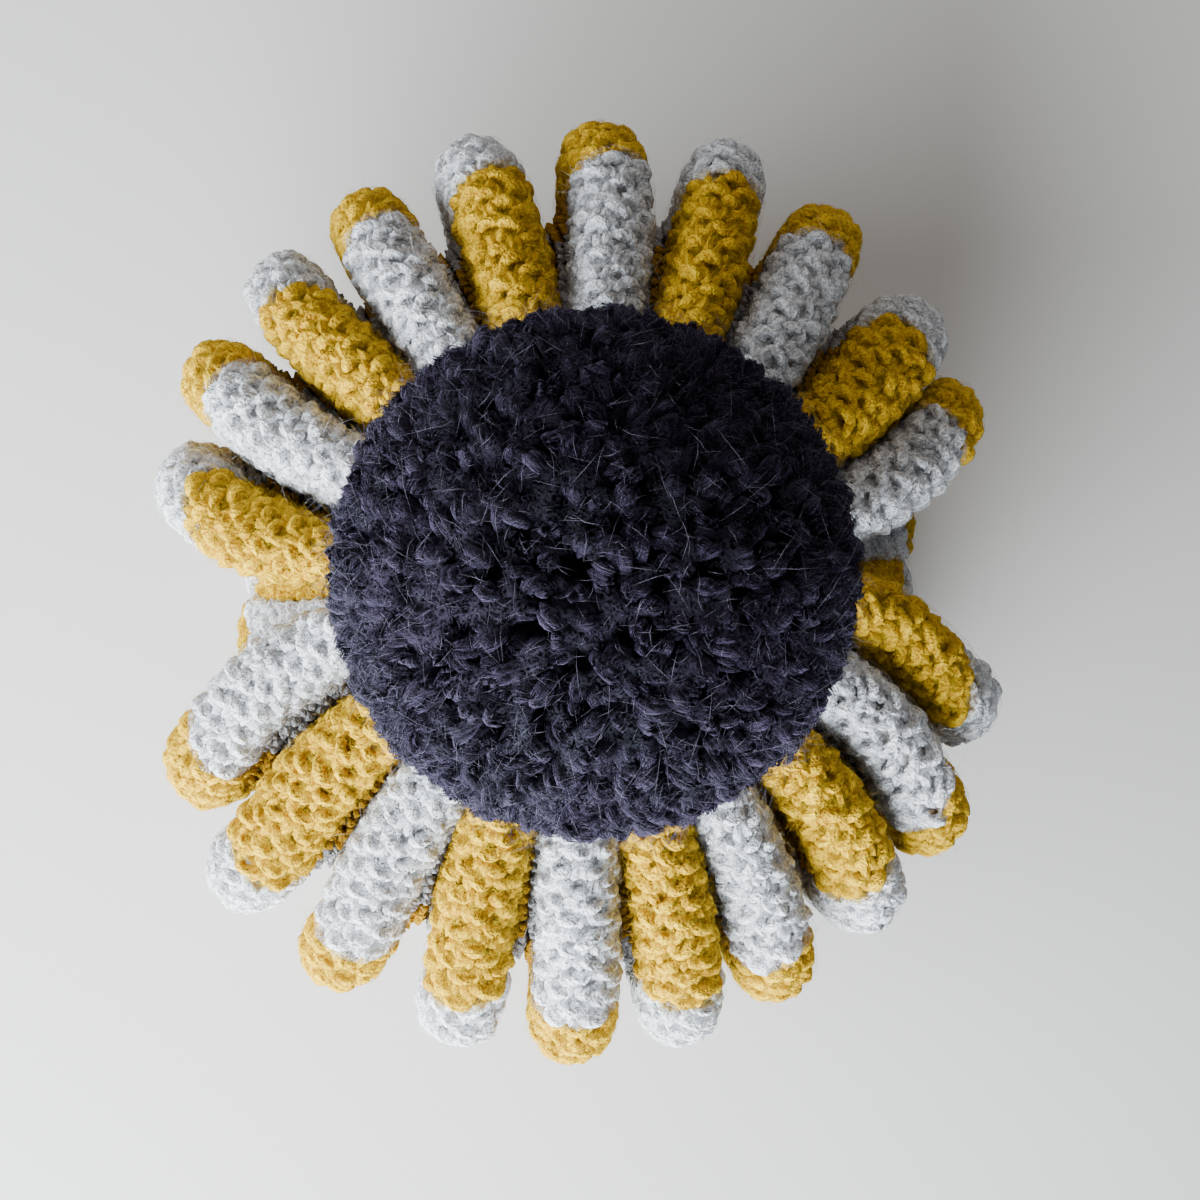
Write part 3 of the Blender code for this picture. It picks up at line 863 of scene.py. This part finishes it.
def around_ball(count):
    """Directions spread evenly over a ball."""
    step = np.arange(count) + 0.5
    height = 1 - 2 * step / count
    angle = step * math.pi * (3 - math.sqrt(5))
    flat = np.sqrt(1 - height ** 2)
    return np.stack([flat * np.cos(angle), flat * np.sin(angle), height], axis=-1)


def across_of(directions):
    """Two directions at right angles to each of these and to each other."""
    first = unit(np.cross(directions, (0.31, 0.22, 0.93)))
    return first, np.cross(directions, first)


def tufts():
    """The pompom's cut ends of yarn, each a bundle of locks that curls over at its tip."""
    outward = unit(around_ball(TUFTS) + chance.normal(0, 0.02, (TUFTS, 3)))
    first, second = across_of(outward)
    angle = chance.uniform(0, TURN, (TUFTS, 1))
    lean = first * np.cos(angle) + second * np.sin(angle)
    aside = np.cross(outward, lean)
    curl = np.clip(vary(0.45, TUFTS, 0.85), LEAST_CURL, MOST_CURL)
    tip = TUFT_TIP - np.abs(vary(0.0012, TUFTS))

    lock = np.repeat(np.arange(TUFTS), LOCKS)
    count = len(lock)
    turn = np.tile(np.arange(LOCKS) * TURN / LOCKS, TUFTS)[:, None]
    apart = LOCK_APART * chance.uniform(0.6, 1.15, (count, 1))
    length = TUFT_LENGTH * vary(0.07, count, 1.0)
    fine = np.linspace(0, 1, BEND_STEPS + 1)
    bend = (curl[lock] + vary(0.16, count)) * fine ** 1.5
    up = np.cumsum(np.cos(bend), axis=1) / len(fine) * length
    over = np.cumsum(np.sin(bend), axis=1) / len(fine) * length
    steps = np.round(LOCK_SHARES * BEND_STEPS).astype(int)
    root = tip[lock] - up.max(axis=1, keepdims=True)
    up, over, bend = root + up[:, steps], over[:, steps], bend[:, steps]
    wound = turn + LOCK_WIND * LOCK_SHARES + chance.uniform(0, TURN, (TUFTS, 1))[lock]
    apart = apart * (0.8 + 0.5 * LOCK_SHARES)
    out, along, side = (part[lock][:, None] for part in (outward, lean, aside))
    forward = -np.sin(bend)[..., None] * out + np.cos(bend)[..., None] * along
    centres = (out * up[..., None] + along * over[..., None]
               + forward * (apart * np.cos(wound))[..., None]
               + side * (apart * np.sin(wound))[..., None])
    reach = np.linalg.norm(centres, axis=-1, keepdims=True)
    centres = centres * np.minimum(1, TUFT_TIP / reach) + POMPOM_CENTRE
    centres[..., 2] = np.maximum(centres[..., 2], CROWN_Z + LOCK_RADIUS)
    shades = chance.normal(0, 0.20, TUFTS)[lock] + chance.normal(0, SHADE_SPREAD, count)
    # Painted shade on the tufts that point up
    shades = shades + TOP_SHADE * np.clip((outward[lock, 2] - TOP_FROM) / TOP_SPAN, 0, 1)
    radii = LOCK_RADIUS * LOCK_SHAPE * vary(0.12, count, 1.0)
    reference = np.broadcast_to(side, centres.shape)
    upper = np.repeat(outward[:, 2] > UPPER_FROM, LOCKS)
    parts = {"pompom_top": upper, "pompom_sides": ~upper}
    return [tubes(name, centres[part], reference[part], radii[part], LOCK_SIDES, shades[part],
                  LOCK_SHARES) for name, part in parts.items()]


def charcoal_finish():
    """The pompom's wool: dark, streaked by its fibres, which part towards the locks' tips; painted
    shade towards the locks' roots and painted light at their tips.
    """
    finish = Finish(CHARCOAL.name, 0.90, 0.30, CHARCOAL.sheen)
    along, around = finish.uv("yarn")
    share = finish.attribute("share")
    wound = finish.vector(along * 190, around * 17 + along * 420, 0.0)
    streaks = finish.noise(1.0, 2.0, 0.7, wound)
    cloud = finish.noise(55.0, 1.0)
    hue = ((finish.noise(30.0, 1.0) - 0.5) * 3.5 + 0.5).clamped()
    fluff = finish.noise(1500.0, 1.0, 0.65)
    # `share ** 2` paints shade at the locks' roots and light at their tips
    tone = (0.12 + 1.1 * (streaks - 0.5) + 1.7 * (fluff - 0.5) + 0.7 * (cloud - 0.5)
            + 0.85 * share ** 2 + finish.attribute("shade"))
    lit = finish.mix(hue, CHARCOAL.lit, CHARCOAL_BLUE)
    colour = finish.mix(tone.clamped(), CHARCOAL.deep, lit)
    finish.fade((streaks - 0.5) * 9.0 + 2.6 - share ** 4 * 3.2)
    return finish.dress(colour, streaks + 1.5 * fluff, 0.0007)


def ball(name, radius, subdivisions, lowest, swell=0.0, shift=0.0):
    """A ball round the pompom's middle, flat below `lowest`; `swell` makes it uneven."""
    shape = bmesh.new()
    bmesh.ops.create_icosphere(shape, subdivisions=subdivisions, radius=radius)
    for vert in shape.verts:
        size = 1 + swell * noise.noise(vert.co * 260 + Vector((shift, 0.0, 0.0)))
        vert.co = Vector(POMPOM_CENTRE) + vert.co * size
        vert.co.z = max(vert.co.z, lowest)
    return mesh_of(name, shape)


def pompom():
    """The ends of yarn and the core behind them, dark with painted shade."""
    pieces = [new_piece(mesh, [charcoal]) for mesh in tufts()]
    core = ball("pompom_core", CORE_RADIUS, 4, CROWN_Z + 0.0006)
    pieces.append(new_piece(core, [core_shade]))
    for piece in pieces:
        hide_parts("pompom")


# A veil's `shade` is painted shade: the inner veils are darker
DownLayer = namedtuple("DownLayer", "radius cover shade")
DOWN_LAYERS = [DownLayer(0.0468, 0.34, 0.50), DownLayer(0.0481, 0.30, 0.72),
               DownLayer(0.0493, 0.15, 0.9)]
DOWN_PURPLE = (0.038, 0.029, 0.053)
DOWN_BLUE = (0.027, 0.029, 0.037)


def down_finish(name, cover, shade):
    """A veil of the pompom's loose fibres, in clumps with painted shade in the hollows between
    them, and painted shade on the inner veils by `shade`.
    """
    finish = Finish(name, 0.9, 0.15, CHARCOAL.sheen)
    curls = finish.noise(210.0, 3.0, 0.6)
    clumps = finish.noise(200.0, 1.0)
    clumped = ((clumps - 0.50) * 7.0).clamped()
    finish.fade(((curls * 11.0).wave() * 0.8 + 0.3).clamped() * clumped * cover * 2.0)
    hue = ((finish.noise(45.0) - 0.5) * 3.0 + 0.5).clamped()
    # Painted shade in the hollows between clumps and on the inner veils
    light = (0.35 + clumped * 0.65) * shade
    base = finish.mix(hue, DOWN_PURPLE, DOWN_BLUE)
    return finish.dress(finish.mix(light.clamped(), CHARCOAL.deep, base), curls, 0.0010)


def down(layer):
    """One of the veils of loose fibres round the pompom."""
    mesh = ball(f"pompom_down_{layer}", DOWN_LAYERS[layer].radius, 5, CROWN_Z + 0.0005,
                swell=0.012, shift=9.0 * layer)
    new_piece(mesh, [down_finishes[layer]])


def core_finish():
    """The darkness between the tufts: painted shade on the core behind them."""
    finish = Finish("pompom_core_wool", 0.95, 0.2, CHARCOAL.sheen)
    lumps = finish.noise(300.0, 3.0)
    return finish.dress(finish.mix(lumps, (0.008, 0.007, 0.012), CHARCOAL.deep), lumps, 0.002)


# --- Fuzz ---

HAIR_RADIUS = 0.000026
HAIR_SHARES = np.array([0.0, 0.5, 1.0])
FABRIC_HAIRS = 1900              # of each colour on each half, at most
POMPOM_HAIRS = 5600
HAIR_FOLD_DEPTH = 0.014          # none stand in folds deeper than this
POMPOM_HAIR_COLOUR = (0.15, 0.14, 0.185)


def hairs(name, roots, outward, lengths, spread):
    """One mesh of fine bent fibres that stand out from their roots."""
    count = len(roots)
    first, second = across_of(outward)
    angle = chance.uniform(0, TURN, (2, count, 1))
    lean = [first * np.cos(turn) + second * np.sin(turn) for turn in angle]
    share = HAIR_SHARES[None, :, None]
    path = outward[:, None] * share + lean[0][:, None] * share * spread
    path = path + lean[1][:, None] * share ** 2 * 0.5
    centres = roots[:, None] + path * lengths[:, None, None]
    centres[..., 2] = np.maximum(centres[..., 2], 2 * HAIR_RADIUS)
    reference = np.broadcast_to(lean[1][:, None], centres.shape)
    return tubes(name, centres, reference, HAIR_RADIUS, 3)


def hair_finish(name, colour):
    """Fine fibres, some darker than others."""
    finish = Finish(name, 0.8, 0.5, colour)
    cloud = finish.noise(400.0)
    tone = finish.mix(cloud, tuple(0.7 * c for c in colour), colour)
    return finish.dress(tone, cloud, 0.00002)


def fabric_fuzz(half, wool, odd_pleats_on_top):
    """Fibres standing out of the stitches of one colour."""
    tries = FABRIC_HAIRS * 6
    wale = chance.uniform(0, PLEATS, tries)
    row = chance.uniform(0.5, ROWS, tries)
    odd = np.floor(wale).astype(int) % 2 == 1
    top = row >= COLOUR_CHANGE_ROW - 0.5
    up = up_at(row)
    column = column_at(half, wale, up)
    own = (odd == (top == odd_pleats_on_top)) & (fold_depth(half, column, up) < HAIR_FOLD_DEPTH)
    column, up = column[own][:FABRIC_HAIRS], up[own][:FABRIC_HAIRS]
    normal = fabric_normal(half, column, up)
    roots = fabric_middle(half, column, up) + normal * YARN_RADIUS
    lengths = chance.gamma(4.0, 0.00065, len(roots))
    name = name_for(half, wool.name.replace("wool", "fuzz"))
    mesh = hairs(name, roots, normal, lengths, 0.9)
    return new_piece(mesh, [fabric_hair[wool.name]])


def pompom_fuzz():
    """Pale fibres standing out of the pompom."""
    outward = unit(chance.normal(0, 1, (POMPOM_HAIRS, 3)))
    outward = outward[outward[:, 2] > -0.75]
    reach = TUFT_TIP - chance.uniform(0.0, 0.003, len(outward))
    roots = POMPOM_CENTRE + outward * reach[:, None]
    lengths = chance.gamma(4.0, 0.0007, len(outward))
    mesh = hairs("pompom_fuzz", roots, outward, lengths, 1.6)
    new_piece(mesh, [pompom_hair])


# --- The whole cosy ---

fabric_hair = {wool.name: hair_finish(wool.name.replace("wool", "hair"), wool.lit)
               for wool in (MUSTARD, PALE_GREY)}
pompom_hair = hair_finish("charcoal_hair", POMPOM_HAIR_COLOUR)
yarn_finishes = {wool.name: yarn_finish(wool) for wool in (MUSTARD, PALE_GREY)}
ground_finishes = [ground_finish("ground_outside", 0.85), ground_finish("ground_inside", 0.0)]
fluff_finishes = [fluff_finish(f"fluff_{n}", layer.cover)
                  for n, layer in enumerate(FLUFF_LAYERS)]
down_finishes = [down_finish(f"down_{n}", layer.cover, layer.shade)
                 for n, layer in enumerate(DOWN_LAYERS)]
charcoal = charcoal_finish()
core_shade = core_finish()

for half, slot in zip(HALVES, (MUSTARD.name, PALE_GREY.name)):
    base = ground(half)
    yarns = [*stitches(half, MUSTARD, True), *stitches(half, PALE_GREY, False),
             fabric_fuzz(half, MUSTARD, True), fabric_fuzz(half, PALE_GREY, False),
             *(fluff(half, slot, layer) for layer in range(len(FLUFF_LAYERS)))]
pompom()
pompom_fuzz()
for layer in range(len(DOWN_LAYERS)):
    down(layer)

# --- Floor, light and camera ---

FRAME_WIDTH = 1200               # the focal length and the aim are in the same units
FOCAL_LENGTH = 1293
AIM_RIGHT, AIM_UP = 65, 33
SENSOR_WIDTH = 36.0
CAMERA_PLACE = Vector((PLAN_CENTRE[0] - 0.011, PLAN_CENTRE[1] - 0.011, 0.435))
CAMERA_AIM = Vector((AIM_RIGHT / FOCAL_LENGTH, AIM_UP / FOCAL_LENGTH, -1.0))
FLOOR_HALF_WIDTH = 1.5
FLOOR_COLOUR = (0.60, 0.575, 0.55, 1.0)
LIGHTS_AIM = Vector((0.0, 0.0, 0.12))
DAYLIGHT = (0.87, 0.95, 1.0)
LAMPLIGHT = (1.0, 0.90, 0.78)
SKY = (0.84, 0.92, 1.0, 1.0)
SKY_STRENGTH = 0.20


def add_floor():
    shape = bmesh.new()
    bmesh.ops.create_grid(shape, x_segments=1, y_segments=1, size=FLOOR_HALF_WIDTH)
    finish = Finish("pale_floor", 0.7, 0.0, (1.0, 1.0, 1.0))
    finish.shader.inputs["Base Color"].default_value = FLOOR_COLOUR
    mesh = mesh_of("floor", shape)
    mesh.materials.append(finish.material)
    floor = new_object("floor", mesh)


def add_light(name, place, size, power, colour):
    """A round lamp that shines at the cosy."""
    light = bpy.data.lights.new(name, "AREA")
    light.shape = "DISK"
    light.size = size
    light.energy = power
    light.color = colour
    thing = new_object(name, light)
    thing.location = place
    toward = LIGHTS_AIM - Vector(place)
    thing.rotation_euler = toward.to_track_quat("-Z", "Y").to_euler()


def add_camera():
    camera = bpy.data.cameras.new("camera")
    camera.sensor_width = SENSOR_WIDTH
    camera.lens = FOCAL_LENGTH / FRAME_WIDTH * SENSOR_WIDTH
    camera.clip_start = 0.01
    thing = new_object("camera", camera)
    forward = CAMERA_AIM.normalized()
    right = forward.cross(Vector((0.0, 1.0, 0.0))).normalized()
    upward = right.cross(forward)
    turn = Matrix((right, upward, -forward)).transposed().to_4x4()
    thing.matrix_world = Matrix.Translation(CAMERA_PLACE) @ turn
    bpy.context.scene.camera = thing


def add_world():
    world = bpy.data.worlds.new("studio")
    world.use_nodes = True
    background = world.node_tree.nodes["Background"]
    background.inputs["Color"].default_value = SKY
    background.inputs["Strength"].default_value = SKY_STRENGTH
    bpy.context.scene.world = world


add_floor()
add_light("left_window", (-0.70, -0.20, 0.34), 0.7, 17.0, DAYLIGHT)
add_light("near_window", (-0.30, -0.65, 0.34), 0.7, 32.0, DAYLIGHT)
add_light("room", (-0.05, 0.8, 1.1), 1.2, 4.8, LAMPLIGHT)
add_camera()
add_world()
